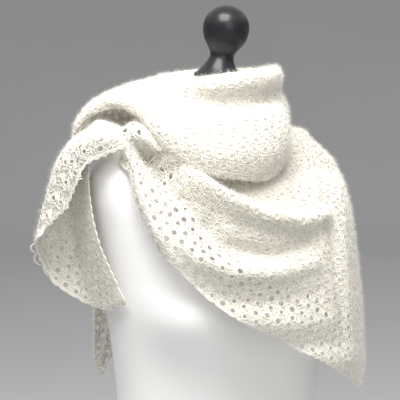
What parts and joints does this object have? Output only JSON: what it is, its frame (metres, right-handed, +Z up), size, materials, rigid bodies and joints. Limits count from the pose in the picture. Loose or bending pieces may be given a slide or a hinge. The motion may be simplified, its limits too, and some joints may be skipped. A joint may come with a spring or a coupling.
{
  "type": "crochet stole on limbless dress form",
  "caption": "Fuzzy cream lace stole wound round the neck and shoulders of a white limbless dress form with a turned black neck cap.",
  "frame": {"origin": "middle of the dress form's flat underside", "axes": "+Z up along the form; the form faces -Y; +X is the form's left"},
  "size_m": [0.4278, 0.3338, 0.7784],
  "materials": {
    "dress_form": "smooth white jersey",
    "neck_cap": "black gloss lacquer",
    "stole_cowl": "fuzzy cream mohair lace",
    "stole_wrap": "fuzzy cream mohair lace",
    "stole_near_end": "fuzzy cream mohair lace",
    "stole_far_end": "fuzzy cream mohair lace"
  },
  "bodies": {
    "root": {"dress_form": "dress_form", "neck_cap": "neck_cap", "stole_cowl": "stole_cowl", "stole_wrap": "stole_wrap", "stole_near_end": "stole_near_end", "stole_far_end": "stole_far_end"}
  },
  "joints": []
}
